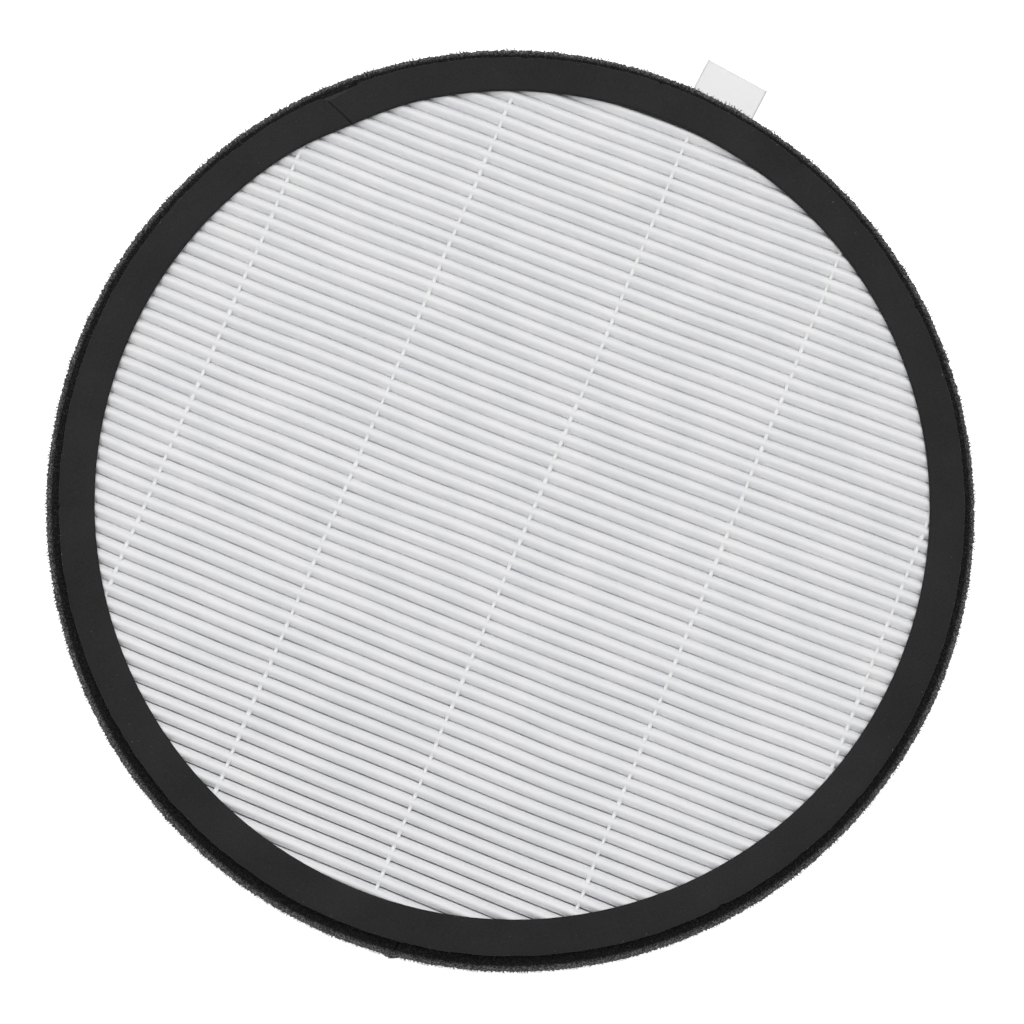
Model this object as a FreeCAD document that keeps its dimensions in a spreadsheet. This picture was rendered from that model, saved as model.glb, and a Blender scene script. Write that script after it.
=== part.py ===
"""Round pleated filter of an air purifier, lying flat with its face ring up.

One sheet of white fibre is folded to and fro into a pack of pleats and cut round. Lines of hot melt
bridge the folds on both faces and keep them apart. A wound band closes the pack's side, a ring of hot
melt seals the cut pleats to it, and a soft black ring covers the rim of each face. A foam strip
round the band seals the filter in its seat, and a white tape under the pack pulls it out.

Millimetres. The origin is the centre of the lower ring's underside, +Z points up through the filter,
and the folds run along X.
"""
import FreeCAD, Part
import math
import os

import Sketcher

ORIGIN_POINT = -1
X_AXIS = -1
Y_AXIS = -2
START = 1
END = 2
CENTRE = 3
LEAST_CUT_VOLUME = 0.001

document = FreeCAD.newDocument("air_purifier_filter")
sheet = document.addObject("Spreadsheet::Sheet", "Sizes")
sheet.Label = "Sizes"

DRIVING_SIZES = {
    # the folded sheet, whose outermost folds are trimmed away by the round cut
    "pleat_pitch": 4.0,
    "pleat_count": 66,
    "pack_height": 24.0,
    "pack_diameter": 257.0,
    "pack_cut_sides": 60,
    "media_thickness": 0.5,
    "fold_bevel_across": 0.6,
    "fold_bevel_down": 0.8,
    # the hot-melt lines across the folds
    "bead_count": 5,
    "bead_spacing": 54.0,
    "bead_shift": 8.0,
    "bead_reach": 251.0,
    "bead_width": 1.7,
    "bead_depth": 6.0,
    # the side band and its hot melt
    "band_diameter": 266.0,
    "band_thickness": 1.5,
    # the soft rings on both faces
    "ring_bore": 246.0,
    "ring_diameter": 266.6,
    "ring_thickness": 2.0,
    "seam_angle": 134.4,
    "seam_lean": 2.5,
    "seam_gap": 0.4,
    "seam_notch_width": 9.0,
    "seam_notch_shoulder": 5.4,
    "seam_notch_depth": 1.6,
    # the foam strip round the band
    "foam_thickness": 5.0,
    "foam_height": 16.0,
    "foam_lift": 4.0,
    "foam_joint_angle": 275.5,
    "foam_joint_gap": 0.5,
    # the pull tape
    "tab_angle": 83.9,
    "tab_width": 21.0,
    "tab_thickness": 0.4,
    "tab_root": 124.5,
    "tab_reach": 153.6,
    # how far a cut runs past the edge that it opens
    "cut_overrun": 1.0,
}

for row, (alias, number) in enumerate(DRIVING_SIZES.items(), start=1):
    sheet.set(f"A{row}", alias)
    sheet.set(f"B{row}", str(number))
    sheet.setAlias(f"B{row}", alias)
document.recompute()


class Size:
    """A number with the sheet formula that it comes from."""

    def __init__(self, number, formula):
        self.number = float(number)
        self.formula = formula

    @staticmethod
    def of(value):
        return value if isinstance(value, Size) else Size(value, str(value))

    def joined(self, other, sign, number):
        return Size(number, f"({self.formula} {sign} {other.formula})")

    def __add__(self, other):
        other = Size.of(other)
        return self.joined(other, "+", self.number + other.number)

    def __sub__(self, other):
        other = Size.of(other)
        return self.joined(other, "-", self.number - other.number)

    def __mul__(self, other):
        other = Size.of(other)
        return self.joined(other, "*", self.number * other.number)

    def __truediv__(self, other):
        other = Size.of(other)
        return self.joined(other, "/", self.number / other.number)

    def __neg__(self):
        return Size(-self.number, f"(0 - {self.formula})")

    def root(self):
        return Size(math.sqrt(self.number), f"sqrt({self.formula})")

    def floor(self):
        return Size(math.floor(self.number), f"floor({self.formula})")


def size(alias):
    return Size(sheet.get(alias), f"Sizes.{alias}")


def bind(item, property_name, value):
    """Ties a property to the sheet and gives it its number at once."""
    item.setExpression(property_name, Size.of(value).formula)


def new_body(name):
    body = document.addObject("PartDesign::Body", name)
    body.Label = name
    return body


def origin_feature(body, role):
    return next(item for item in body.Origin.OriginFeatures if item.Role == role)


def new_sketch(body, name, role="XY_Plane", lift=None):
    sketch = body.newObject("Sketcher::SketchObject", name)
    sketch.AttachmentSupport = [(origin_feature(body, role), "")]
    sketch.MapMode = "FlatFace"
    if lift is not None:
        bind(sketch, "AttachmentOffset.Base.z", lift)
    return sketch


def place_point(sketch, line, end, corner):
    """Holds one end of a line at a corner whose two coordinates follow the sheet."""
    for kind, value, axis in zip(("DistanceX", "DistanceY"), corner, (Y_AXIS, X_AXIS)):
        value = Size.of(value)
        if value.number == 0:
            sketch.addConstraint(Sketcher.Constraint("PointOnObject", line, end, axis))
            continue
        rule = Sketcher.Constraint(kind, ORIGIN_POINT, START, line, end, value.number)
        index = sketch.addConstraint(rule)
        bind(sketch, f"Constraints[{index}]", value)


def add_polygon(sketch, corners):
    """Draws a closed outline of straight lines through corners that follow the sheet."""
    points = [FreeCAD.Vector(Size.of(x).number, Size.of(y).number, 0) for x, y in corners]
    lines = []
    for start, end in zip(points, points[1:] + points[:1]):
        lines.append(sketch.addGeometry(Part.LineSegment(start, end), False))
    for line, following in zip(lines, lines[1:] + lines[:1]):
        sketch.addConstraint(Sketcher.Constraint("Coincident", line, END, following, START))
    for line, corner in zip(lines, corners):
        place_point(sketch, line, START, corner)


def add_circle(sketch, diameter):
    circle = Part.Circle(FreeCAD.Vector(0, 0, 0), FreeCAD.Vector(0, 0, 1), diameter.number / 2)
    index = sketch.addGeometry(circle, False)
    sketch.addConstraint(Sketcher.Constraint("Coincident", index, CENTRE, ORIGIN_POINT, START))
    rule = sketch.addConstraint(Sketcher.Constraint("Diameter", index, diameter.number))
    bind(sketch, f"Constraints[{rule}]", diameter)


def rectangle(left, right, low, high):
    return [(left, low), (right, low), (right, high), (left, high)]


def add_pad(body, name, sketch, length):
    pad = body.newObject("PartDesign::Pad", name)
    pad.Profile = sketch
    bind(pad, "Length", length)
    return pad


def add_pocket(body, name, sketch, length, upwards=False):
    """Cuts a pocket and makes sure that it took something away."""
    document.recompute()
    before = body.Shape.Volume
    pocket = body.newObject("PartDesign::Pocket", name)
    pocket.Profile = sketch
    pocket.Reversed = upwards
    bind(pocket, "Length", length)
    document.recompute()
    if body.Shape.Volume > before - LEAST_CUT_VOLUME:
        raise RuntimeError(f"{name} cut nothing")
    return pocket


def repeat_along_y(body, name, feature, spacing, count):
    pattern = body.newObject("PartDesign::LinearPattern", name)
    pattern.Originals = [feature]
    pattern.Direction = (origin_feature(body, "Y_Axis"), [""])
    bind(pattern, "Length", spacing * (count - 1))
    bind(pattern, "Occurrences", count)
    body.Tip = pattern
    return pattern


def ring_body(name, outer, inner, low, height):
    """A flat ring: outer and inner diameters, height of its underside and thickness."""
    body = new_body(name)
    outline = new_sketch(body, f"{name}_outline", lift=low)
    add_circle(outline, outer)
    add_circle(outline, inner)
    add_pad(body, f"{name}_pad", outline, height)
    return body


def turn(body, angle):
    """Turns a whole body about the filter's axis."""
    bind(body, "Placement.Rotation.Angle", angle)


pitch = size("pleat_pitch")
sheet_thickness = size("media_thickness")
pack_low = size("ring_thickness")
pack_high = pack_low + size("pack_height")
overrun = size("cut_overrun")
fold_half = (pitch / 2 + sheet_thickness) / 2
groove_half = (pitch / 2 - sheet_thickness) / 2


def fold_outline(start):
    """The folded sheet's section over one pitch, from the middle of one valley to the next."""
    bevel = size("fold_bevel_across")
    drop = size("fold_bevel_down")
    # the inside of a fold is the same outline, moved in by the sheet's thickness
    inner_bevel = bevel * groove_half / fold_half
    inner_drop = drop * groove_half / fold_half
    floor = pack_low + sheet_thickness
    roof = pack_high - sheet_thickness
    upper = [
        (groove_half - inner_bevel, floor),
        (groove_half, floor + inner_drop),
        (groove_half, pack_high - drop),
        (groove_half + bevel, pack_high),
    ]
    lower = [
        (fold_half - bevel, pack_low),
        (fold_half, pack_low + drop),
        (fold_half, roof - inner_drop),
        (fold_half + inner_bevel, roof),
    ]
    corners = [(Size.of(0), floor)] + upper
    corners += [(pitch - y, z) for y, z in reversed(upper)]
    corners += [(pitch, floor), (pitch, pack_low)]
    corners += [(pitch - y, z) for y, z in lower]
    corners += [(y, z) for y, z in reversed(lower)] + [(Size.of(0), pack_low)]
    return [(start + y, z) for y, z in corners]


def shape_round_cut(prism):
    """The pack's outline: short straight cuts round a circle."""
    bind(prism, "Polygon", size("pack_cut_sides"))
    bind(prism, "Circumradius", size("pack_diameter") / 2)
    bind(prism, "Height", pack_high + overrun)


def make_pleated_media():
    """One sheet folded to and fro, then cut round."""
    body = new_body("folded_sheet")
    count = size("pleat_count")
    section = new_sketch(body, "fold_section", "YZ_Plane")
    add_polygon(section, fold_outline(-(pitch * count / 2)))
    fold = add_pad(body, "fold", section, size("pack_diameter") + overrun * 2)
    fold.SideType = "Symmetric"
    repeat_along_y(body, "folds", fold, pitch, count)
    outline = document.addObject("Part::Prism", "round_cut")
    shape_round_cut(outline)
    media = document.addObject("Part::Common", "pleated_media")
    media.Base = body
    media.Tool = outline
    return media


def make_bead_line(name, place, low, between_crests):
    """The plugs of one hot-melt line, one in each groove that it crosses."""
    body = new_body(name)
    half_width = size("bead_width") / 2
    edge = Size(abs(place.number), f"abs({place.formula})") + half_width
    rim = size("bead_reach") / 2
    half_chord = (rim * rim - edge * edge).root() - groove_half
    if between_crests:
        count = (half_chord / pitch).floor() * 2 + 1
    else:
        count = (half_chord / pitch + 0.5).floor() * 2
    first = -(pitch * (count - 1) / 2)
    outline = new_sketch(body, f"{name}_plug_outline", lift=low)
    sides = rectangle(place - half_width, place + half_width, first - groove_half, first + groove_half)
    add_polygon(outline, sides)
    plug = add_pad(body, f"{name}_plug", outline, size("bead_depth"))
    repeat_along_y(body, f"{name}_plugs", plug, pitch, count)
    return body


def make_bead_lines():
    """Hot-melt lines square to the folds, on the upper face and again on the lower one."""
    lines = []
    count = size("bead_count")
    middle = (count + 1) / 2
    for number in range(1, int(count.number) + 1):
        place = size("bead_shift") + size("bead_spacing") * (Size.of(number) - middle)
        top_low = pack_high - size("bead_depth")
        lines.append(make_bead_line(f"top_glue_bead_{number}", place, top_low, True))
        lines.append(make_bead_line(f"bottom_glue_bead_{number}", place, pack_low, False))
    return lines


def make_side_band():
    """The stiff band wound round the pack."""
    outer = size("band_diameter")
    inner = outer - size("band_thickness") * 2
    return ring_body("side_band", outer, inner, pack_low, size("pack_height"))


def make_edge_sealant():
    """The hot melt between the cut pleats and the band, cast against the pack's cut sides."""
    body = new_body("edge_sealant")
    outline = new_sketch(body, "edge_sealant_outline", lift=pack_low)
    add_circle(outline, size("band_diameter") - size("band_thickness") * 2)
    add_pad(body, "edge_sealant_pad", outline, size("pack_height"))
    pack = body.newObject("PartDesign::SubtractivePrism", "pack_room")
    shape_round_cut(pack)
    return body


def make_top_ring():
    """The upper soft ring, whose two ends meet at a leaning seam with a torn corner."""
    thickness = size("ring_thickness")
    outer = size("ring_diameter")
    inner = size("ring_bore")
    body = ring_body("top_ring", outer, inner, pack_high, thickness)
    half_gap = size("seam_gap") / 2
    lean = size("seam_lean") / 2
    near = inner / 2 - overrun
    far = outer / 2 + overrun
    seam = new_sketch(body, "seam_outline", lift=pack_high)
    add_polygon(
        seam,
        [
            (near, -half_gap - lean),
            (far, -half_gap + lean),
            (far, half_gap + lean),
            (near, half_gap - lean),
        ],
    )
    add_pocket(body, "seam", seam, thickness, upwards=True)
    notch = new_sketch(body, "seam_notch_outline", lift=pack_high)
    depth = size("seam_notch_depth")
    add_polygon(
        notch,
        [
            (outer / 2 - depth, lean),
            (outer / 2 - depth / 2, lean - size("seam_notch_shoulder")),
            (far, lean - size("seam_notch_width")),
            (far, lean),
        ],
    )
    add_pocket(body, "seam_notch", notch, thickness, upwards=True)
    turn(body, size("seam_angle"))
    return body


def make_bottom_ring():
    """The lower soft ring, pressed down where the pull tape lies on it."""
    thickness = size("ring_thickness")
    body = ring_body("bottom_ring", size("ring_diameter"), size("ring_bore"), Size.of(0), thickness)
    press = new_sketch(body, "tape_press_outline", lift=thickness - size("tab_thickness"))
    half_width = size("tab_width") / 2
    far = size("ring_diameter") / 2 + overrun
    add_polygon(press, rectangle(size("tab_root"), far, -half_width, half_width))
    add_pocket(body, "tape_press", press, size("tab_thickness"), upwards=True)
    turn(body, size("tab_angle"))
    return body


def make_foam_gasket():
    """The foam strip round the band, its two ends butted together."""
    inner = size("band_diameter")
    outer = inner + size("foam_thickness") * 2
    low = size("foam_lift")
    height = size("foam_height")
    body = ring_body("foam_gasket", outer, inner, low, height)
    joint = new_sketch(body, "foam_joint_outline", lift=low)
    half_gap = size("foam_joint_gap") / 2
    add_polygon(joint, rectangle(inner / 2 - overrun, outer / 2 + overrun, -half_gap, half_gap))
    add_pocket(body, "foam_joint", joint, height, upwards=True)
    turn(body, size("foam_joint_angle"))
    return body


def make_pull_tab():
    """The flat tape between the lower ring and the pack, with its free end past the foam."""
    body = new_body("pull_tab")
    outline = new_sketch(body, "tape_outline", lift=pack_low - size("tab_thickness"))
    half_width = size("tab_width") / 2
    add_polygon(outline, rectangle(size("tab_root"), size("tab_reach"), -half_width, half_width))
    add_pad(body, "tape", outline, size("tab_thickness"))
    turn(body, size("tab_angle"))
    return body


def check(parts):
    """Stops the build if a feature failed or a piece is not a sound solid."""
    for item in document.Objects:
        if {"Invalid", "Error"} & set(item.State):
            raise RuntimeError(f"{item.Label} failed: {item.State}")
    for part in parts:
        if part.Shape.isNull() or not part.Shape.isValid():
            raise RuntimeError(f"{part.Label} is not a valid shape")


def write(parts):
    os.makedirs("parts", exist_ok=True)
    for part in parts:
        shape = part.Shape
        shape.exportStep(f"parts/{part.Label}.step")
        box = shape.BoundBox
        print(
            f"{part.Label}: {len(shape.Solids)} solids, {len(shape.Faces)} faces, "
            f"{shape.Volume:.0f} mm3, z {box.ZMin:.2f} to {box.ZMax:.2f}"
        )


parts = [make_pleated_media()]
parts += make_bead_lines()
parts += [make_side_band(), make_edge_sealant(), make_top_ring(), make_bottom_ring()]
parts += [make_foam_gasket(), make_pull_tab()]
document.recompute()
check(parts)
write(parts)
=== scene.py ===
# %% [markdown]
# # A round pleated air filter
#
# The filter lies flat on a pale floor and is seen almost straight down. It is a pack of white pleats
# with a soft black ring on each face, a foam strip round its side and a white pull tape.
# The solids come from a packed model that is loaded first. The folded sheet, the hot-melt lines and every
# soft piece are then modelled again with rounder, less even shapes. The side band and the sealant keep
# their solids and get a better finish.

# %% Load the packed model
import math
import random

import bmesh
import bpy
from mathutils import Matrix, Vector, noise


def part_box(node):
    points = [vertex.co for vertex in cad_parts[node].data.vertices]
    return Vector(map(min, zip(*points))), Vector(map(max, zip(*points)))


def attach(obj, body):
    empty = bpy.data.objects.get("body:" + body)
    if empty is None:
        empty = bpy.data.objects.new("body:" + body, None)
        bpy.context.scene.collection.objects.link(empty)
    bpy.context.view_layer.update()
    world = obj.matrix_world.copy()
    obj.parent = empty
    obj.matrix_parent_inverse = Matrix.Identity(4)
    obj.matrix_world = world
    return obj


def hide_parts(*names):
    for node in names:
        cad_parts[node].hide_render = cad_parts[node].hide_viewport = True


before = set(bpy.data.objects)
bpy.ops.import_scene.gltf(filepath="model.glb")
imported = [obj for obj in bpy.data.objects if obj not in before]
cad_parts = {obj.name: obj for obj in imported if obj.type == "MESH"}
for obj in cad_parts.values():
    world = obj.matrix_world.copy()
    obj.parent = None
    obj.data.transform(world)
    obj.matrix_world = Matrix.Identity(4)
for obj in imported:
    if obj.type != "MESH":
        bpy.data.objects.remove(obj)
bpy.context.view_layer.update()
print("nodes:", len(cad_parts))

# %% [markdown]
# All sizes are in metres, as Blender's are. The heights of the stack are read from the solids, so that
# each new piece sits where its solid does.

# %% Sizes read from the solids
MM = 0.001
PITCH = 4 * MM
SHEET = 0.5 * MM

RING_LOW, RING_HIGH = (corner.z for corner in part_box("top_ring"))
PACK_LOW, PACK_HIGH = (corner.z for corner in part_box("pleated_media"))
FOAM_LOW, FOAM_HIGH = (corner.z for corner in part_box("foam_gasket"))
BAND_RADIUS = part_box("side_band")[1].x
RING_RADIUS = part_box("top_ring")[1].x
FOAM_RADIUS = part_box("foam_gasket")[1].x
PACK_RADIUS = 128.4 * MM
RING_BORE = 123 * MM
TAPE_ANGLE = math.radians(83.9)
TAPE_ROOT = 124.5 * MM
TAPE_REACH = 153.6 * MM
TAPE_WIDTH = 21 * MM
TAPE_SKEW = 0.5 * MM
TAPE_THICK = 0.4 * MM
print(f"pack {PACK_LOW:.4f} to {PACK_HIGH:.4f}, foam radius {FOAM_RADIUS:.4f}")

# %% [markdown]
# ## The camera
#
# The photograph looks down from 70 cm. The camera stands a little towards the foot of the picture, so it is
# tilted about 8 degrees. The folds run down to the right in it, so the camera is also turned about its own
# line of sight. The aim is the middle of the upper ring, and two small lens shifts put that point where the
# photograph has it.

# %% Camera
PICTURE_SIDE = 1024
AIM_PIXEL = (515.1, 495.0)
FOCAL_PIXELS = 2386
SENSOR = 36.0
VIEW_DISTANCE = 701 * MM
VIEW_TILT = math.radians(7.9)
TILT_TOWARDS = math.radians(-106.3)
FOLD_SLOPE = math.radians(21.48)


def turn_about(axis, angle):
    return Matrix.Rotation(angle, 4, axis)


def make_camera():
    data = bpy.data.cameras.new("photo_camera")
    data.sensor_width = SENSOR
    data.lens = SENSOR * FOCAL_PIXELS / PICTURE_SIDE
    data.shift_x = (PICTURE_SIDE / 2 - AIM_PIXEL[0]) / PICTURE_SIDE
    data.shift_y = (AIM_PIXEL[1] - PICTURE_SIDE / 2) / PICTURE_SIDE
    camera = bpy.data.objects.new("photo_camera", data)
    bpy.context.scene.collection.objects.link(camera)
    lean = TILT_TOWARDS + math.pi / 2
    turned = turn_about("Z", FOLD_SLOPE + lean) @ turn_about("X", VIEW_TILT) @ turn_about("Z", -lean)
    aim = Vector((0, 0, RING_HIGH))
    camera.matrix_world = Matrix.Translation(aim) @ turned @ Matrix.Translation((0, 0, VIEW_DISTANCE))
    bpy.context.scene.camera = camera
    return camera


camera = make_camera()
print("camera at", [round(x, 4) for x in camera.matrix_world.translation])

# %% [markdown]
# ## Floor and light
#
# The photograph is lit softly from almost straight above, with a slight lean towards the head of the
# picture, so the side of each pleat that faces the head is a little brighter. One broad lamp overhead gives
# that light, a faint one beyond the head adds to its lean, and the pale surroundings fill the rest. The
# floor glows a little, as a light table does, so that it stays white right up to the filter.

# %% Lights
WORLD_STRENGTH = 0.22
PICTURE_UP = Vector((-math.sin(FOLD_SLOPE), math.cos(FOLD_SLOPE), 0))
PICTURE_RIGHT = Vector((math.cos(FOLD_SLOPE), math.sin(FOLD_SLOPE), 0))


def add_lamp(name, along, aside, height, size, power):
    """A square lamp placed from the filter's middle: towards the picture's head, to its right and up."""
    data = bpy.data.lights.new(name, "AREA")
    data.shape = "SQUARE"
    data.size = size
    data.energy = power
    lamp = bpy.data.objects.new(name, data)
    place = PICTURE_UP * along + PICTURE_RIGHT * aside + Vector((0, 0, height))
    lamp.matrix_world = Matrix.Translation(place) @ place.to_track_quat("Z", "Y").to_matrix().to_4x4()
    bpy.context.scene.collection.objects.link(lamp)


add_lamp("head_softbox", along=1.5, aside=-0.35, height=1.3, size=1.2, power=2)
add_lamp("overhead_softbox", along=0.3, aside=0, height=2.2, size=1.4, power=40)

world = bpy.data.worlds.new("pale_room")
world.use_nodes = True
world.node_tree.nodes["Background"].inputs["Color"].default_value = (1, 1, 1, 1)
world.node_tree.nodes["Background"].inputs["Strength"].default_value = WORLD_STRENGTH
bpy.context.scene.world = world
bpy.context.scene.view_settings.view_transform = "Standard"

# %% [markdown]
# ## Shader maths as plain expressions
#
# A node tree is hard to read in a script. The small class below wraps a socket, so that `1 - mask * 0.3`
# adds the Math nodes by itself. Python calls the forms whose names start with `__r` when the number comes
# first, as the 1 does here.

# %% Sums of sockets


class Wire:
    """One output socket that can be used in sums."""

    def __init__(self, finish, socket):
        self.finish = finish
        self.socket = socket

    def maths(self, operation, first, second):
        return self.finish.node("ShaderNodeMath", {"operation": operation}, {0: first, 1: second})

    def __add__(self, other):
        return self.maths("ADD", self, other)

    def __radd__(self, other):
        return self.maths("ADD", other, self)

    def __sub__(self, other):
        return self.maths("SUBTRACT", self, other)

    def __rsub__(self, other):
        return self.maths("SUBTRACT", other, self)

    def __mul__(self, other):
        return self.maths("MULTIPLY", self, other)

    def __rmul__(self, other):
        return self.maths("MULTIPLY", other, self)

    def size(self):
        """The value without its sign."""
        return self.maths("ABSOLUTE", self, 0)


print("a wire understands:", [name for name in vars(Wire) if name.strip("_")[-3:] in ("add", "sub", "mul")])

# %% [markdown]
# A finish is a material with a few short ways to add nodes. Every node comes from one method, `node`, which
# takes its type, then its settings and then what goes into its sockets. All patterns read the object's own
# coordinates, so they stay in place on the piece.

# %% Finishes as objects
# a Mix node has a set of sockets for each kind of data, and these are the ones for colours
MIX_FACTOR, MIX_FIRST, MIX_SECOND, MIX_RESULT = 0, 6, 7, 2


def colour(value):
    return value if isinstance(value, Wire) else (*value, 1)


class Finish:
    """A material with one short way to add and wire its nodes."""

    def __init__(self, name):
        self.material = bpy.data.materials.new(name)
        self.material.use_nodes = True
        self.tree = self.material.node_tree
        self.shader = self.tree.nodes["Principled BSDF"]
        self.place = self.node("ShaderNodeTexCoord", output="Object")

    def plug(self, socket, value):
        if isinstance(value, Wire):
            self.tree.links.new(value.socket, socket)
        else:
            socket.default_value = value

    def node(self, kind, settings=None, inputs=None, output=0):
        made = self.tree.nodes.new(kind)
        for name, value in (settings or {}).items():
            setattr(made, name, value)
        for socket, value in (inputs or {}).items():
            self.plug(made.inputs[socket], value)
        return Wire(self, made.outputs[output])

    def set(self, **values):
        """Sets the shader's own sockets; an underscore in a name stands for a space."""
        for name, value in values.items():
            self.plug(self.shader.inputs[name.replace("_", " ")], value)

    def stretched(self, scale, turn=(0, 0, 0)):
        return self.node("ShaderNodeMapping", None, {"Vector": self.place, "Scale": scale, "Rotation": turn})

    def speckle(self, size, detail, vector=None):
        """Soft noise from 0 to 1 whose blobs are about `size` metres across."""
        inputs = {"Vector": vector or self.place, "Scale": 1 / size, "Detail": detail, "Roughness": 0.5}
        return self.node("ShaderNodeTexNoise", None, inputs)

    def cells(self, size):
        """Distance to the nearest of many points that lie about `size` metres apart."""
        inputs = {"Vector": self.place, "Scale": 1 / size}
        return self.node("ShaderNodeTexVoronoi", {"feature": "F1"}, inputs)

    def spread(self, value, low, high, out_low=0.0, out_high=1.0):
        """Stretches the values from `low` to `high` over 0 to 1, or over another range."""
        inputs = {"Value": value, "From Min": low, "From Max": high, "To Min": out_low, "To Max": out_high}
        return self.node("ShaderNodeMapRange", None, inputs)

    def blend(self, factor, first, second):
        """A mix of two colours, each an (r, g, b) or the result of another blend."""
        inputs = {MIX_FACTOR: factor, MIX_FIRST: colour(first), MIX_SECOND: colour(second)}
        return self.node("ShaderNodeMix", {"data_type": "RGBA"}, inputs, output=MIX_RESULT)

    def radius(self):
        """Distance from the filter's axis."""
        flat = self.stretched((1, 1, 0))
        return self.node("ShaderNodeVectorMath", {"operation": "LENGTH"}, {0: flat}, output="Value")

    def bump(self, height, depth):
        """Turns a height from 0 to 1 into a surface relief that is `depth` metres deep."""
        return self.node("ShaderNodeBump", None, {"Height": height, "Distance": depth, "Strength": 1.0})


print("a finish can:", [name for name in vars(Finish) if not name.startswith("_")])

# %% [markdown]
# ## Finishes
#
# The filter sheet is white melt-blown fibre. It has no weave, only a fine felted grain and faint clouds
# where the fibre lies thicker.

# %% Filter sheet
FIBRE_DIM = (0.83, 0.832, 0.85)
FIBRE_BRIGHT = (0.87, 0.868, 0.875)


def make_sheet_finish():
    finish = Finish("white_fibre_sheet")
    clouds = finish.speckle(14 * MM, 3)
    tufts = finish.speckle(1.1 * MM, 3, vector=finish.stretched((0.6, 1.0, 1.0)))
    grain = finish.speckle(0.25 * MM, 2)
    shade = finish.spread(clouds, 0.35, 0.65)
    finish.set(
        Base_Color=finish.blend(shade, FIBRE_DIM, FIBRE_BRIGHT),
        Roughness=0.95,
        Specular_IOR_Level=0.2,
        Normal=finish.bump(tufts * 0.75 + grain * 0.25, 0.3 * MM),
    )
    return finish.material


SHEET_FINISH = make_sheet_finish()
print("nodes in sheet_finish:", len(SHEET_FINISH.node_tree.nodes))

# %% [markdown]
# Hot melt sets with a smooth skin, slightly grey and waxy next to the matt fibre.

# %% Hot melt
MELT_DIM = (0.76, 0.765, 0.77)
MELT_BRIGHT = (0.82, 0.825, 0.825)


def make_melt_finish():
    finish = Finish("white_hot_melt")
    waves = finish.speckle(2.2 * MM, 2)
    finish.set(
        Base_Color=finish.blend(finish.spread(waves, 0.3, 0.7), MELT_DIM, MELT_BRIGHT),
        Roughness=finish.spread(waves, 0.3, 0.7, 0.35, 0.55),
        Normal=finish.bump(waves, 0.12 * MM),
    )
    return finish.material


MELT_FINISH = make_melt_finish()
print("nodes in melt_finish:", len(MELT_FINISH.node_tree.nodes))

# %% [markdown]
# The rings are cut from soft closed-cell sheet. It is black and matt, with broad faint clouds, a fine
# skin grain and a few pale specks of dust, which gather near the rim.

# %% Soft ring
RING_DARK = (0.011, 0.011, 0.012)
RING_PALE = (0.018, 0.017, 0.018)
DUST = (0.16, 0.155, 0.15)


def make_ring_finish():
    finish = Finish("black_soft_sheet")
    clouds = finish.speckle(18 * MM, 4)
    grain = finish.speckle(0.5 * MM, 3)
    rim = finish.spread(finish.radius(), RING_RADIUS - 1.6 * MM, RING_RADIUS)
    dust = finish.spread(finish.speckle(0.7 * MM, 1) + rim * 0.08, 0.79, 0.87)
    black = finish.blend(finish.spread(clouds, 0.3, 0.7), RING_DARK, RING_PALE)
    finish.set(
        Base_Color=finish.blend(dust, black, DUST),
        Roughness=finish.spread(grain, 0.3, 0.7, 0.72, 0.9),
        Specular_IOR_Level=0.3,
        Normal=finish.bump(grain, 0.05 * MM),
    )
    return finish.material


RING_FINISH = make_ring_finish()
print("nodes in ring_finish:", len(RING_FINISH.node_tree.nodes))

# %% [markdown]
# The foam is open-celled: a net of thin struts round small dark holes. The holes come from a cell pattern
# that both darkens the colour and dents the surface. Light and shade are painted into the colour by the
# distance from the axis. The outer edge is painted pale, as painted light where the light gets in from the
# side. The inner part is painted near black, as painted shade under the ring's overhang.

# %% Foam
# painted light and shade: near black inside as painted shade, pale at the outer edge as painted light
SHADED_INNER_PORE = (0.003, 0.003, 0.003)
LIT_OUTER_PORE = (0.02, 0.02, 0.02)
SHADED_INNER_STRUT = (0.026, 0.026, 0.026)
LIT_OUTER_STRUT = (0.25, 0.25, 0.25)


def make_foam_finish():
    finish = Finish("black_open_foam")
    pores = finish.spread(finish.cells(0.45 * MM), 0.25, 0.75)
    fine = finish.speckle(0.3 * MM, 3)
    struts = finish.spread(pores * 0.6 + fine * 0.6, 0.3, 0.95)
    # painted light mask: 0 in the painted shade under the ring, 1 at the outer edge painted as lit from the
    # side
    outer = finish.spread(finish.radius(), FOAM_RADIUS - 1.7 * MM, FOAM_RADIUS - 0.5 * MM)
    pore_painted_light = finish.blend(outer, SHADED_INNER_PORE, LIT_OUTER_PORE)
    strut_painted_light = finish.blend(outer, SHADED_INNER_STRUT, LIT_OUTER_STRUT)
    finish.set(
        Base_Color=finish.blend(struts, pore_painted_light, strut_painted_light),
        Roughness=0.9,
        Specular_IOR_Level=0.2,
        Normal=finish.bump(struts, 0.4 * MM),
    )
    return finish.material


FOAM_FINISH = make_foam_finish()
print("nodes in foam_finish:", len(FOAM_FINISH.node_tree.nodes))

# %% [markdown]
# The side band is black board. Its short pressed fibres lie upright, so their pattern is drawn out along Z.

# %% Side band
BOARD_DARK = (0.012, 0.012, 0.012)
BOARD_PALE = (0.03, 0.03, 0.03)


def make_band_finish():
    finish = Finish("black_board")
    fibres = finish.speckle(0.8 * MM, 4, vector=finish.stretched((1, 1, 0.35)))
    finish.set(
        Base_Color=finish.blend(finish.spread(fibres, 0.3, 0.7), BOARD_DARK, BOARD_PALE),
        Roughness=0.85,
        Normal=finish.bump(fibres, 0.08 * MM),
    )
    return finish.material


BAND_FINISH = make_band_finish()
print("nodes in band_finish:", len(BAND_FINISH.node_tree.nodes))

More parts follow.
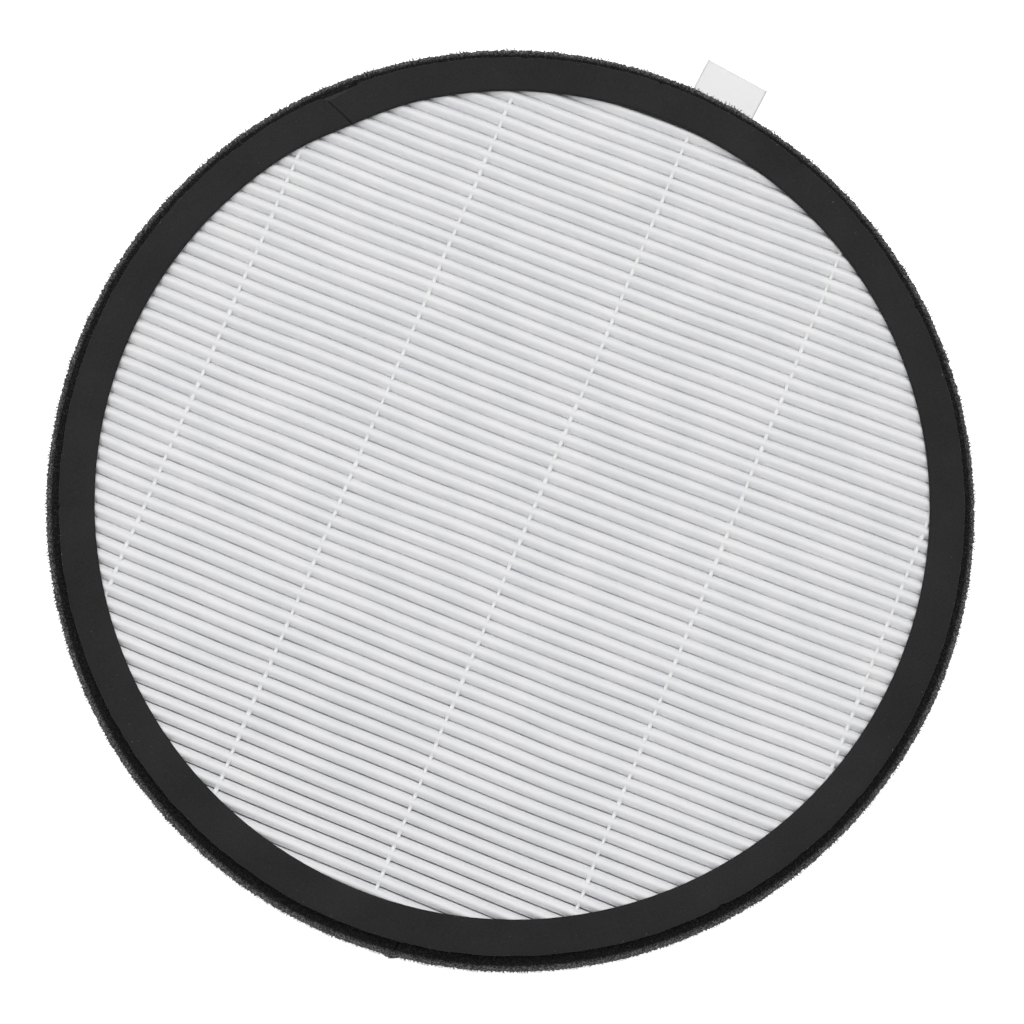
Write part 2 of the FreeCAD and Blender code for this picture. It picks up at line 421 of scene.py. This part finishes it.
# %% [markdown]
# The pull tape is white non-woven cloth, bonded at many small points. Its two long edges are painted a
# little greyer.

# %% Pull tape
CLOTH_DIM = (0.80, 0.80, 0.81)
CLOTH_BRIGHT = (0.85, 0.85, 0.855)
EDGE_GREY = (0.68, 0.68, 0.68)


def make_tape_finish():
    finish = Finish("white_non_woven")
    dots = finish.spread(finish.cells(0.8 * MM), 0.1, 0.6)
    threads = finish.speckle(0.35 * MM, 3)
    lengthwise = finish.stretched((1, 1, 1), (0, 0, -TAPE_ANGLE))
    across = finish.node("ShaderNodeSeparateXYZ", None, {0: lengthwise}, output="Y")
    # the two long edges are painted a little greyer
    grey_edge_mask = finish.spread(across.size(), TAPE_WIDTH / 2 - 0.9 * MM, TAPE_WIDTH / 2)
    cloth = finish.blend(threads, CLOTH_DIM, CLOTH_BRIGHT)
    finish.set(
        Base_Color=finish.blend(grey_edge_mask, cloth, EDGE_GREY),
        Roughness=0.85,
        Subsurface_Weight=0.25,
        Subsurface_Radius=(1, 1, 1),
        Subsurface_Scale=0.6 * MM,
        Normal=finish.bump(dots * 0.6 + threads * 0.4, 0.05 * MM),
    )
    return finish.material


TAPE_FINISH = make_tape_finish()
print("finishes:", [m.name for m in bpy.data.materials if m.use_nodes][-6:])

# %% [markdown]
# ## Small helpers for pieces
#
# A finished piece is a mesh in place, on an object that stays at the origin. Unevenness comes from one
# function, `wander`, whose seed picks another stretch of the same noise.

# %% Piece helpers
SEED_STEPS = (17.3, 5.1, 9.7)
MOSTLY = 0.9


def add_piece(name, mesh_data, finish):
    """Turns a bmesh into an object that rides on the filter's one body."""
    bmesh.ops.recalc_face_normals(mesh_data, faces=mesh_data.faces)
    mesh = bpy.data.meshes.new(name)
    mesh_data.to_mesh(mesh)
    mesh_data.free()
    mesh.materials.append(finish)
    for face in mesh.polygons:
        face.use_smooth = True
    piece = bpy.data.objects.new(name, mesh)
    bpy.context.scene.collection.objects.link(piece)
    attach(piece, "root")
    return piece


def wander(place, size, seed):
    """Smooth random number from about -1 to 1 that changes over `size` metres."""
    return noise.noise(Vector(place) / size + Vector([seed * step for step in SEED_STEPS]))


def chain(mesh_data, points):
    """Adds a line of vertices joined by edges and returns its edges."""
    corners = [mesh_data.verts.new(point) for point in points]
    return [mesh_data.edges.new(pair) for pair in zip(corners, corners[1:])]


def vertices_of(items):
    """Picks the vertices out of what an operator made."""
    return [item for item in items if isinstance(item, bmesh.types.BMVert)]


def spin_round(mesh_data, gap, steps, cuts):
    """Spins a section about the filter's axis: a full turn, or less by a gap in metres along the rim.

    The steps are coarse and are divided afterwards, which is much quicker than fine steps.
    """
    rim = max(vert.co.x for vert in mesh_data.verts)
    bmesh.ops.spin(
        mesh_data, geom=mesh_data.faces[:] + mesh_data.edges[:], cent=(0, 0, 0), axis=(0, 0, 1),
        angle=2 * math.pi - gap / rim, steps=steps, use_merge=gap == 0,
    )

    def runs_round(edge):
        start, end = (vert.co for vert in edge.verts)
        tangent = Vector((-start.y, start.x, 0)).normalized()
        return abs((end - start).dot(tangent)) > MOSTLY * (end - start).length

    around = [edge for edge in mesh_data.edges if runs_round(edge)]
    bmesh.ops.subdivide_edges(mesh_data, edges=around, cuts=cuts)


print("piece helpers ready")

# %% [markdown]
# ## The folded sheet
#
# The pack is one long sheet of fibre folded to and fro 64 times. Each fold springs open a little at its
# round crest, so that the crests nearly touch and only a thin dark line shows between them. A crest is a
# parabola, which eases into the straight walls below it.

# %% Fold section
CREST_HALF = 1.73 * MM
CREST_DEPTH = 2.3 * MM
WALL_HALF = PITCH / 4
CREST_STEPS = 5
FOOT_STEPS = 3
WALL_EASE = 6 * MM
NECK_DROP = 3 * MM


def half_width(depth):
    """Half the width of a fold, to the middle of the sheet, at a depth below its crest."""
    if depth < CREST_DEPTH:
        return CREST_HALF * math.sqrt(depth / CREST_DEPTH)
    ease = min(1.0, (depth - CREST_DEPTH) / WALL_EASE)
    ease = ease * ease * (3 - 2 * ease)
    return CREST_HALF + (WALL_HALF - CREST_HALF) * ease


def fold_line():
    """The sheet's middle line over one pitch, as (y, z) from a valley and from the pack's middle."""
    half_height = (PACK_HIGH - PACK_LOW - SHEET) / 2

    def depths(steps):
        return [CREST_DEPTH * (k / steps) ** 2 for k in range(steps + 1)]

    down = depths(CREST_STEPS) + [CREST_DEPTH + NECK_DROP]
    upper = [(PITCH / 2 - half_width(d), half_height - d) for d in down]
    lower = [(half_width(d), d - half_height) for d in depths(FOOT_STEPS)]
    rising = lower + upper[::-1]
    falling = [(PITCH - y, z) for y, z in rising[::-1]]
    return rising + falling[1:]


print("points over one pitch:", len(fold_line()))

# %% [markdown]
# The line over one pitch is repeated across the pack, and the whole zigzag is then extruded step by step
# along the folds. X runs from -1 to 1 here, and is stretched to the round outline afterwards.

# %% Flat pack
FOLDS = 64
ALONG_STEPS = 34


def chord(y):
    """Half the length of the pack along X at a distance from the middle."""
    return math.sqrt(max(0.0, PACK_RADIUS ** 2 - y * y))


def make_folded_sheet():
    mesh_data = bmesh.new()
    middle = (PACK_LOW + PACK_HIGH) / 2
    first = -FOLDS * PITCH / 2
    line = fold_line()
    points = [Vector((-1, first, middle + line[0][1]))]
    for fold in range(FOLDS):
        points += [Vector((-1, first + fold * PITCH + y, middle + z)) for y, z in line[1:]]
    edges = chain(mesh_data, points)
    for _ in range(ALONG_STEPS):
        made = bmesh.ops.extrude_edge_only(mesh_data, edges=edges)["geom"]
        moved = vertices_of(made)
        bmesh.ops.translate(mesh_data, verts=moved, vec=(2 / ALONG_STEPS, 0, 0))
        front = set(moved)
        made_edges = [item for item in made if isinstance(item, bmesh.types.BMEdge)]
        edges = [edge for edge in made_edges if front.issuperset(edge.verts)]
    return mesh_data


sheet_mesh = make_folded_sheet()
print("sheet faces on one side:", len(sheet_mesh.faces))

# %% [markdown]
# Real folds aren't straight. They bow as the sheet is pressed into its round band, fan out towards one
# side, and sway by a few tenths of a millimetre between the lines of hot melt. The grooves stand open a
# little towards the foot of the picture. The bow and the sway die out at the first and last folds, which
# the band holds.

# %% How the folds lie
BOW = 0.0755
BOW_LEVEL = 0.004
FAN = 0.11
CREST_SINK = 0.1 * MM
CREST_SINK_SIZE = 0.035
GAPE = 0.07
GAPE_REACH = 110 * MM
SWAY = 0.5 * MM
SWAY_SIZE = 0.03
ROW_SWAY = 0.1 * MM
ROW_SWAY_SIZE = 0.014
ROW_STEP = 0.7


def freedom(y):
    """1 over most of the pack and 0 at its first and last fold."""
    return 1 - (y / PACK_RADIUS) ** 4


def crest_drop(x, y):
    """How far a crest has settled below the pack's face."""
    return CREST_SINK * (1 + wander((x, 3 * y, 0), CREST_SINK_SIZE, 3))


def bowed(x, y):
    """The folds bow and fan out a little: the shift along Y of a point of the pack."""
    return (BOW * (x * x - BOW_LEVEL)) * freedom(y) + FAN * x * y


def fold_middle(y, top):
    """The middle line of the fold that a point belongs to."""
    shift = PITCH / 2 if top else 0
    return round((y - shift) / PITCH) * PITCH + shift


def gape(y):
    """How much narrower a fold is towards the foot of the picture, where the grooves stand open."""
    share = min(1.0, max(0.0, -y / GAPE_REACH))
    return GAPE * share * share


def settle_folds(mesh_data):
    """Stretches the pack to its round outline and lets the folds bow and sway as glued folds do."""
    half_height = (PACK_HIGH - PACK_LOW) / 2
    middle = (PACK_LOW + PACK_HIGH) / 2
    for vert in mesh_data.verts:
        x = vert.co.x * chord(vert.co.y)
        y = vert.co.y
        row = round((y + PITCH / 2) / PITCH)
        up = (vert.co.z - middle) / half_height
        sway = SWAY * wander((x, y, 0), SWAY_SIZE, 1)
        sway += ROW_SWAY * wander((x, row * ROW_STEP, 0), ROW_SWAY_SIZE, 2)
        drop = crest_drop(x, y) * up
        y -= (y - fold_middle(y, up > 0)) * gape(y)
        vert.co = (x, y + bowed(x, y) + sway * up * freedom(y), vert.co.z - drop)


settle_folds(sheet_mesh)
reach = max(vert.co.x for vert in sheet_mesh.verts)
print(f"the longest fold reaches {reach:.4f} from the middle")

# %% [markdown]
# A Solidify modifier gives the sheet its thickness, half of it to each side of the line.

# %% Folded sheet
folded_sheet = add_piece("folded_sheet", sheet_mesh, SHEET_FINISH)
thicken = folded_sheet.modifiers.new("thickness", "SOLIDIFY")
thicken.thickness = SHEET
thicken.offset = 0
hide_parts("pleated_media")
print("folded sheet vertices before it is thickened:", len(folded_sheet.data.vertices))

# %% [markdown]
# ## The hot-melt lines
#
# Each line is laid across the folds before they close up. It bridges every groove just below the crests,
# reaches a few millimetres down into it, and is hidden where the crests cover it, so it shows as a row of
# dashes. The tables give its upper and lower outline from a crest to the valley beside it, in millimetres.

# %% Outline of a hot-melt line
BEAD_LEAN = 0.019
BEAD_PLACES = [-99.2 * MM, -47.0 * MM, 6.6 * MM, 62.3 * MM, 116.0 * MM]
BEAD_CLEAR = 3 * MM
BEAD_UPPER = [(0, -0.03), (0.5, -0.12), (1.0, -0.44), (1.5, -0.62), (1.97, -0.68)]
BEAD_LOWER = [(0, -0.35), (0.5, -0.5), (1.0, -1.0), (1.5, -1.9), (1.97, -6)]


def bead_rows(place, top):
    """The outline of a whole line as (y, upper height, lower height), with the crests' level as zero."""
    upper, lower = ([(y * MM, z * MM) for y, z in side] for side in (BEAD_UPPER, BEAD_LOWER))
    reach = chord(abs(place)) - BEAD_CLEAR
    shift = PITCH / 2 if top else 0
    crests = [k * PITCH + shift for k in range(-FOLDS // 2 - 1, FOLDS // 2 + 1)]
    crests = [y for y in crests if abs(y) < reach]
    rows = []
    for crest in crests[:-1]:
        for (y, rise), (_, fall) in zip(upper, lower):
            rows.append((crest + y, rise, fall))
        for (y, rise), (_, fall) in zip(upper[:0:-1], lower[:0:-1]):
            rows.append((crest + PITCH - y, rise, fall))
    rows.append((crests[-1], upper[0][1], lower[0][1]))
    return rows


print("points along the middle line:", len(bead_rows(BEAD_PLACES[2], True)))

# %% [markdown]
# The outline is a strip of faces in the YZ plane. It is extruded along X to the line's width, and the two
# long upper edges are rounded off with a bevel.

# %% Straight hot-melt line
BEAD_WIDTH = 1.5 * MM
BEAD_ROUND = 0.35 * MM
TINY = 1e-7


def straight_bead(rows, face, sign):
    """A line that lies along Y on a face of the pack; sign is 1 on the upper face and -1 on the lower."""
    mesh_data = bmesh.new()
    half = BEAD_WIDTH / 2
    tops = {round(y / MM, 3): face + sign * rise for y, rise, _ in rows}
    lows = {round(y / MM, 3): face + sign * fall for y, _, fall in rows}
    top_edges = chain(mesh_data, [(-half, y, face + sign * rise) for y, rise, _ in rows])
    for vert in vertices_of(bmesh.ops.extrude_edge_only(mesh_data, edges=top_edges)["geom"]):
        vert.co.z = lows[round(vert.co.y / MM, 3)]
    bmesh.ops.recalc_face_normals(mesh_data, faces=mesh_data.faces)
    grown = bmesh.ops.extrude_face_region(mesh_data, geom=mesh_data.faces[:])["geom"]
    bmesh.ops.translate(mesh_data, verts=vertices_of(grown), vec=(BEAD_WIDTH, 0, 0))

    def on_ridge(edge):
        first, second = (vert.co for vert in edge.verts)
        at_top = all(abs(spot.z - tops[round(spot.y / MM, 3)]) < TINY for spot in (first, second))
        return at_top and abs(first.x - second.x) < TINY

    ridge = [edge for edge in mesh_data.edges if on_ridge(edge)]
    bmesh.ops.bevel(
        mesh_data, geom=ridge, offset=BEAD_ROUND, segments=2, profile=0.5, affect="EDGES", material=-1,
    )
    return mesh_data


print("straight line ready, width", BEAD_WIDTH)

# %% [markdown]
# A real line is never so even. It leans across the pack, drifts from fold to fold, swells where it sits on a
# crest, and follows the crests up and down.

# %% Hot-melt lines
BEAD_LEAST = 0.8
BEAD_SWELL = 0.4
BEAD_UNEVEN = 0.3
BEAD_UNEVEN_SIZE = 0.006
BEAD_DRIFT = 0.35 * MM
BEAD_DRIFT_SIZE = 0.012


def make_bead_line(name, place, top):
    """One line on the upper or the lower face."""
    face, sign = (PACK_HIGH, 1) if top else (PACK_LOW, -1)
    mesh_data = straight_bead(bead_rows(place, top), face, sign)
    seed = place * 100 + (3 if top else 7)
    for vert in mesh_data.verts:
        x, y, z = vert.co
        from_valley = 1 - abs((y / PITCH + (0 if top else 0.5)) % 1 * 2 - 1)
        uneven = BEAD_UNEVEN * wander((0, y, 0), BEAD_UNEVEN_SIZE, seed)
        wide = BEAD_LEAST + BEAD_SWELL * from_valley ** 2 + uneven
        drift = BEAD_LEAN * y + BEAD_DRIFT * wander((0, y, 0), BEAD_DRIFT_SIZE, seed + 1)
        x = place + drift + x * wide
        vert.co = (x, y + bowed(x, y), z - sign * crest_drop(x, y))
    return add_piece(name, mesh_data, MELT_FINISH)


for number, place in enumerate(BEAD_PLACES, start=1):
    for side in ("top", "bottom"):
        line = make_bead_line(f"{side}_melt_line_{number}", place, side == "top")
        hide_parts(f"{side}_glue_bead_{number}")
print("hot-melt lines:", len(BEAD_PLACES) * 2)

# %% [markdown]
# ## The soft rings
#
# Each ring is a flat strip of soft sheet, so its section is spun about the filter's axis. A full turn needs
# only the section's outline. A strip whose ends meet at a seam needs the whole face, which closes both ends.

# %% Ring section and turn
RING_TURNS = 150
RING_CUTS = 6
EDGE_ROUND = 0.3 * MM


def ring_section(low, high, full_turn):
    """The rounded section of a ring between two heights: an outline for a full turn, or else a face."""
    mesh_data = bmesh.new()
    corners = [(RING_BORE, low), (RING_RADIUS, low), (RING_RADIUS, high), (RING_BORE, high)]
    section = mesh_data.faces.new([mesh_data.verts.new((radius, 0, z)) for radius, z in corners])
    bmesh.ops.bevel(
        mesh_data, geom=section.verts[:], offset=EDGE_ROUND, segments=2, profile=0.5,
        affect="VERTICES", material=-1,
    )
    if full_turn:
        bmesh.ops.delete(mesh_data, geom=mesh_data.faces[:], context="FACES_ONLY")
    flats = [edge for edge in mesh_data.edges if edge.calc_length() > (RING_RADIUS - RING_BORE) / 2]
    bmesh.ops.subdivide_edges(mesh_data, edges=flats, cuts=RING_CUTS)
    return mesh_data


print(f"ring from {RING_BORE:.4f} to {RING_RADIUS:.4f}, {RING_HIGH - RING_LOW:.4f} thick")

# %% [markdown]
# The upper ring was bent round from a straight strip, and its two ends meet in a leaning seam. The outer
# corner of one end is torn back a long way, and that of the other only a little. The tear follows a curve
# with some noise, so that it looks pulled and not cut.

# %% Tear at the seam
TEAR_LENGTH = 12 * MM
TEAR_DEPTH = 1.7 * MM
TEAR_CURVE = 0.7
TEAR_START = 0.04
TEAR_RAGGED = 0.35 * MM
TEAR_RAGGED_SIZE = 1.2 * MM
CORNER_LENGTH = 2.4 * MM
CORNER_DEPTH = 1.0 * MM


def torn_back(run):
    """How far the outer edge is torn back, from the distance along the rim to the seam."""
    if run < 0:
        share = max(0.0, 1 + run / TEAR_LENGTH)
        ragged = TEAR_RAGGED * wander((run, 0, 0), TEAR_RAGGED_SIZE, 21)
        return (TEAR_DEPTH * share ** TEAR_CURVE + ragged) if share > TEAR_START else 0.0
    share = max(0.0, 1 - run / CORNER_LENGTH)
    return CORNER_DEPTH * share * share


print(f"torn back by {torn_back(-0.1 * MM):.4f} and {torn_back(0.1 * MM):.4f} at the seam")

# %% [markdown]
# The ring's outer edge droops, because nothing stiff is under it. Six shallow creases run in from that edge,
# where the strip was bent hardest, and the whole ring swells and wanders by about a tenth of a millimetre.

# %% Upper ring
UPPER_CUTS = 7
SEAM_ANGLE = math.radians(135)
SEAM_LEAN = math.radians(1.75)
SEAM_GAP = 0.25 * MM
DROOP = 0.7 * MM
SWELL = 0.12 * MM
SWELL_SIZE = 0.02
EDGE_WAVES = [(0.2 * MM, 0.06, 4), (0.12 * MM, 0.02, 5)]
CREASE_ANGLES = [math.radians(a) for a in (47, 71, 92, 110, 203, 318)]
CREASE_DEPTH = 0.3 * MM
CREASE_WIDTH = 0.8 * MM
CREASE_BITE = 0.4 * MM
END_OPENING = 0.15 * MM
END_LENGTH = 4 * MM
END_SAG = 0.8 * MM
END_REACH = 14 * MM


def apart(first, second):
    """The signed angle between two directions, from minus half a turn to half a turn."""
    return (first - second + math.pi) % (2 * math.pi) - math.pi


def shape_upper_ring(mesh_data):
    for vert in mesh_data.verts:
        radius = math.hypot(vert.co.x, vert.co.y)
        angle = math.atan2(vert.co.y, vert.co.x) % (2 * math.pi)
        out = (radius - RING_BORE) / (RING_RADIUS - RING_BORE)
        up = (vert.co.z - RING_LOW) / (RING_HIGH - RING_LOW)
        run = (angle if angle < math.pi else angle - 2 * math.pi) * RING_RADIUS
        around = (math.cos(angle), math.sin(angle), 0)
        turned = angle + SEAM_ANGLE + SEAM_LEAN * out
        edge = sum(amount * wander(around, size, seed) for amount, size, seed in EDGE_WAVES)
        crease = sum(math.exp(-(apart(turned, at) * radius / CREASE_WIDTH) ** 2) for at in CREASE_ANGLES)
        swell = SWELL * wander((vert.co.x, vert.co.y, 0), SWELL_SIZE, 6)
        opening = END_OPENING * out ** 3 * math.exp(-abs(run) / END_LENGTH)
        turned += math.copysign(opening / radius, run)
        radius -= END_SAG * (1 - out) * math.exp(-((run / END_REACH) ** 2))
        sink = DROOP * out * out + CREASE_DEPTH * crease * out
        radius += (edge - torn_back(run) - CREASE_BITE * crease) * out
        z = vert.co.z + (swell - sink) * up
        vert.co = (radius * math.cos(turned), radius * math.sin(turned), z)


upper_mesh = ring_section(RING_LOW, RING_HIGH, False)
spin_round(upper_mesh, SEAM_GAP, RING_TURNS, UPPER_CUTS)
shape_upper_ring(upper_mesh)
upper_ring = add_piece("upper_soft_ring", upper_mesh, RING_FINISH)
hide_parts("top_ring")
print("upper ring vertices:", len(upper_ring.data.vertices))

# %% [markdown]
# The lower ring carries the filter, so its underside stays flat. Its upper side is pressed down by the
# thickness of the pull tape where the tape lies between it and the pack.

# %% Lower ring
LOWER_CUTS = 3
BASE_LOW, BASE_HIGH = (corner.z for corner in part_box("bottom_ring"))
PRESS_MARGIN = 1.5 * MM

lower_mesh = ring_section(BASE_LOW, BASE_HIGH, True)
spin_round(lower_mesh, 0, RING_TURNS, LOWER_CUTS)
for vert in lower_mesh.verts:
    spot = Matrix.Rotation(-TAPE_ANGLE, 3, "Z") @ vert.co
    under_tape = spot.x > TAPE_ROOT - PRESS_MARGIN and abs(spot.y) < TAPE_WIDTH / 2 + PRESS_MARGIN
    if under_tape and vert.co.z > BASE_HIGH - TAPE_THICK:
        vert.co.z = BASE_HIGH - TAPE_THICK
lower_ring = add_piece("lower_soft_ring", lower_mesh, RING_FINISH)
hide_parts("bottom_ring")
print("lower ring vertices:", len(lower_ring.data.vertices))

# %% [markdown]
# ## The foam strip
#
# A strip of open-cell foam is wound once round the side band, and its ends are butted. Its section has
# rounded outer edges, and points about a millimetre apart for the roughness that comes next.

# %% Foam section
FOAM_ROUND = 1.8 * MM
FOAM_STEP = 1.0 * MM
ON_BAND = BAND_RADIUS + 1e-6


def foam_section():
    """The strip's section with its outer edges rounded, as one face."""
    mesh_data = bmesh.new()
    corners = [
        (BAND_RADIUS, FOAM_LOW), (FOAM_RADIUS, FOAM_LOW), (FOAM_RADIUS, FOAM_HIGH), (BAND_RADIUS, FOAM_HIGH),
    ]
    section = mesh_data.faces.new([mesh_data.verts.new((radius, 0, z)) for radius, z in corners])
    rim = [vert for vert in section.verts if vert.co.x > ON_BAND]
    bmesh.ops.bevel(
        mesh_data, geom=rim, offset=FOAM_ROUND, segments=4, profile=0.5, affect="VERTICES", material=-1,
    )
    for edge in mesh_data.edges[:]:
        on_band = all(vert.co.x < ON_BAND for vert in edge.verts)
        cuts = int(edge.calc_length() / FOAM_STEP)
        if cuts and not on_band:
            bmesh.ops.subdivide_edges(mesh_data, edges=[edge], cuts=cuts)
    return mesh_data


foam_mesh = foam_section()
print("points in the foam section:", len(foam_mesh.verts))

# %% [markdown]
# The section is spun round, and every vertex off the band is pushed in or out by noise the size of the
# cells, which gives the ragged edge that foam shows against a pale background. One end was cut a little
# long, so the joint bulges, and it leans as the cut was slanted.

# %% Rough foam
FOAM_TURNS = 230
FOAM_CUTS = 8
FOAM_JOINT = math.radians(277.1)
FOAM_JOINT_GAP = 0.02 * MM
STUCK_SHARE = 0.05
RAGGED = 0.62 * MM
CELL_SIZE = 0.4 * MM
CLUMP_SHARE = 0.3
CLUMP_SIZE = 1.6 * MM
WAVE = 0.15 * MM
WAVE_SIZE = 0.03
TOP_ROUGH = 0.5 * MM
TOP_ROUGH_SIZE = 0.9 * MM
TOP_SKIN = 0.6 * MM
SPRING_BACK = 0.25 * MM
BULGE = 0.8 * MM
BULGE_BEFORE = 3.2 * MM
BULGE_AFTER = 1.2 * MM
JOINT_REACH = 3 * MM
JOINT_OPENING = 0.15 * MM
JOINT_LEAN = 2 * MM


def roughness_at(place):
    """Noise the size of the foam's cells, drawn out three times in height, with some broader clumps."""
    fine = wander((place.x, place.y, place.z / 3), CELL_SIZE, 8)
    return fine + CLUMP_SHARE * wander(place, CLUMP_SIZE, 9)


def joint_bulge(run):
    """How far the side stands out, from the distance along the rim to the joint."""
    return BULGE * math.exp(-((run / (BULGE_BEFORE if run < 0 else BULGE_AFTER)) ** 2))


def roughen_foam(mesh_data):
    middle = (FOAM_LOW + FOAM_HIGH) / 2
    half_height = (FOAM_HIGH - FOAM_LOW) / 2
    for vert in mesh_data.verts:
        radius = math.hypot(vert.co.x, vert.co.y)
        out = (radius - BAND_RADIUS) / (FOAM_RADIUS - BAND_RADIUS)
        if out < STUCK_SHARE:
            continue
        angle = math.atan2(vert.co.y, vert.co.x)
        way = Vector((math.cos(angle), math.sin(angle), 0))
        around = Vector((-math.sin(angle), math.cos(angle), 0))
        wave = WAVE * wander(vert.co, WAVE_SIZE, 10)
        run = angle * FOAM_RADIUS
        high = max(0.0, (vert.co.z - middle) / half_height)
        slip = math.copysign(JOINT_OPENING * high ** 4, run) - JOINT_LEAN * out
        slip *= math.exp(-abs(run) / JOINT_REACH)
        push = roughness_at(vert.co) * RAGGED + SPRING_BACK + wave + joint_bulge(run)
        vert.co += way * push * out + around * slip
        if abs(vert.co.z - middle) > half_height - TOP_SKIN:
            vert.co.z += TOP_ROUGH * wander(vert.co, TOP_ROUGH_SIZE, 11)
    bmesh.ops.rotate(mesh_data, verts=mesh_data.verts, matrix=Matrix.Rotation(FOAM_JOINT, 3, "Z"))


spin_round(foam_mesh, FOAM_JOINT_GAP, FOAM_TURNS, FOAM_CUTS)
roughen_foam(foam_mesh)
print("foam faces without struts:", len(foam_mesh.faces))

# %% [markdown]
# Cut struts stand out of the foam's outer side like short hairs. Seventy thin three-sided rods are scattered
# over one small sector, more of them near the top, and the sector is then copied round the filter.

# %% Struts
STRUT_SECTORS = 60
STRUTS_PER_SECTOR = 70
STRUT_LENGTH = 1.8 * MM
STRUT_RADIUS = 0.1 * MM
STRUT_TAPER = 0.7
EDGE_INSET = 0.3 * FOAM_ROUND


def make_struts():
    mesh_data = bmesh.new()
    draw = random.Random(5)
    for _ in range(STRUTS_PER_SECTOR):
        angle = draw.uniform(0, 2 * math.pi / STRUT_SECTORS)
        height = FOAM_HIGH - (FOAM_HIGH - FOAM_LOW) * draw.random() ** 2
        from_edge = min(FOAM_HIGH - height, height - FOAM_LOW) / FOAM_ROUND
        inset = EDGE_INSET * max(0.0, 1 - from_edge)
        root = Vector((FOAM_RADIUS + SPRING_BACK - inset, 0, height))
        way = Vector((1, draw.uniform(-0.9, 0.9), draw.uniform(-0.7, 0.9))).normalized()
        place = Matrix.Rotation(angle, 4, "Z") @ Matrix.Translation(root)
        place = place @ way.to_track_quat("Z", "Y").to_matrix().to_4x4()
        length = STRUT_LENGTH * draw.uniform(0.4, 1.3)
        bmesh.ops.create_cone(
            mesh_data, cap_ends=True, segments=3, radius1=STRUT_RADIUS, radius2=STRUT_RADIUS * STRUT_TAPER,
            depth=length, matrix=place,
        )
    bmesh.ops.spin(
        mesh_data, geom=mesh_data.verts[:] + mesh_data.edges[:] + mesh_data.faces[:], cent=(0, 0, 0),
        axis=(0, 0, 1), angle=2 * math.pi * (1 - 1 / STRUT_SECTORS), steps=STRUT_SECTORS - 1,
        use_duplicate=True,
    )
    return mesh_data


strut_mesh = make_struts()
print("struts:", STRUTS_PER_SECTOR * STRUT_SECTORS)

# %% [markdown]
# The struts and the strip become one piece of foam.

# %% Foam strip


def join_meshes(target, source):
    """Copies one bmesh into another."""
    carrier = bpy.data.meshes.new("carrier")
    source.to_mesh(carrier)
    source.free()
    target.from_mesh(carrier)
    bpy.data.meshes.remove(carrier)


join_meshes(foam_mesh, strut_mesh)
foam_strip = add_piece("foam_strip", foam_mesh, FOAM_FINISH)
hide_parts("foam_gasket")
print("foam faces:", len(foam_strip.data.polygons))

# %% [markdown]
# ## The pull tape
#
# The tape is stuck under the pack and reaches out past the foam. It is a plain strip of cloth, so a grid is
# shaped into the strip and given the thickness of the cloth. Its free end sags and curls a little.

# %% Tape shape
TAPE_SAG = 0.3 * MM
TAPE_CURL = 0.25 * MM
TAPE_CURL_SIZE = 0.012


def make_tape():
    mesh_data = bmesh.new()
    bmesh.ops.create_grid(mesh_data, x_segments=30, y_segments=22, size=0.5)
    for vert in mesh_data.verts:
        along = vert.co.x + 0.5
        across = vert.co.y
        radius = TAPE_ROOT + (TAPE_REACH - TAPE_ROOT + TAPE_SKEW * (across + 0.5)) * along
        free = max(0.0, (radius - RING_RADIUS) / (TAPE_REACH - RING_RADIUS))
        curl = TAPE_CURL * free * wander((radius, across * TAPE_WIDTH, 0), TAPE_CURL_SIZE, 12)
        z = PACK_LOW - TAPE_THICK / 2 + curl
        vert.co = (radius, across * TAPE_WIDTH, z - TAPE_SAG * free)
    turn = Matrix.Rotation(TAPE_ANGLE, 3, "Z")
    bmesh.ops.rotate(mesh_data, verts=mesh_data.verts, cent=(0, 0, 0), matrix=turn)
    tape = add_piece("pull_tape", mesh_data, TAPE_FINISH)
    thicken = tape.modifiers.new("thickness", "SOLIDIFY")
    thicken.thickness = TAPE_THICK
    thicken.offset = 0
    return tape


pull_tape = make_tape()
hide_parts("pull_tab")
print(f"tape reaches {TAPE_REACH - FOAM_RADIUS:.4f} past the foam")

# %% [markdown]
# ## Pieces that keep their solids
#
# The side band and the ring of sealant have the right shape already, so only their finish changes.

# %% Carried solids
CARRIED = {"side_band": BAND_FINISH, "edge_sealant": MELT_FINISH}
for name, finish in CARRIED.items():
    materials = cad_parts[name].data.materials
    materials.clear()
    materials.append(finish)
print("carried solids:", sorted(CARRIED))

# %% [markdown]
# ## The floor
#
# A very large square, so that no edge of it is seen. Its glow keeps it white under the soft light.

# %% Floor
FLOOR_HALF = 12
FLOOR_GLOW = 0.75


def make_floor():
    mesh_data = bmesh.new()
    bmesh.ops.create_grid(mesh_data, x_segments=1, y_segments=1, size=FLOOR_HALF)
    mesh = bpy.data.meshes.new("floor")
    mesh_data.to_mesh(mesh)
    mesh_data.free()
    finish = Finish("pale_floor")
    finish.set(
        Base_Color=(0.9, 0.9, 0.9, 1), Roughness=0.9, Emission_Color=(1, 1, 1, 1),
        Emission_Strength=FLOOR_GLOW,
    )
    mesh.materials.append(finish.material)
    floor = bpy.data.objects.new("floor", mesh)
    bpy.context.scene.collection.objects.link(floor)
    return floor


floor = make_floor()
print(f"{floor.name} side in metres: {2 * FLOOR_HALF}")

# %% [markdown]
# ## The end
